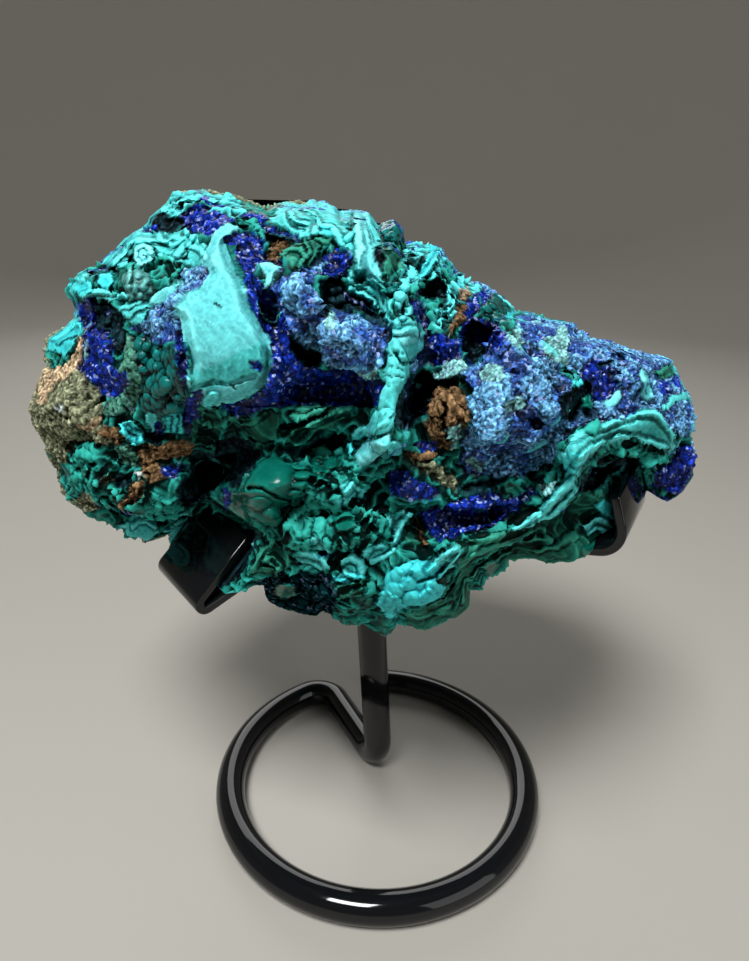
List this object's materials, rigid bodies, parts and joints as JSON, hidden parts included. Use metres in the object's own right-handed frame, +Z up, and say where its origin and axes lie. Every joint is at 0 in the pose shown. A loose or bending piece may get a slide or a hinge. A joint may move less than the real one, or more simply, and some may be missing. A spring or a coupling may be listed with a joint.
{
  "type": "azurite specimen",
  "caption": "Azurite and malachite mineral specimen resting in a strap claw on a bent-rod stand with a ring foot, for display on a flat surface.",
  "frame": {"origin": "on the surface that the ring foot rests on, under the middle of the object's bounding box", "axes": "+Z up, -Y towards the viewer of the picture, +X to the viewer's right, along the stone's length"},
  "size_m": [0.1573, 0.1166, 0.1625],
  "materials": {
    "azurite_malachite": "grown mineral: velvet malachite crust, glittering azurite crystals and earthy limonite",
    "black_enamel": "gloss black enamel on steel"
  },
  "bodies": {
    "root": {"specimen": "azurite_malachite", "stand_rod": "black_enamel", "claw_front_left": "black_enamel", "claw_front_right": "black_enamel", "claw_back": "black_enamel"}
  },
  "joints": []
}
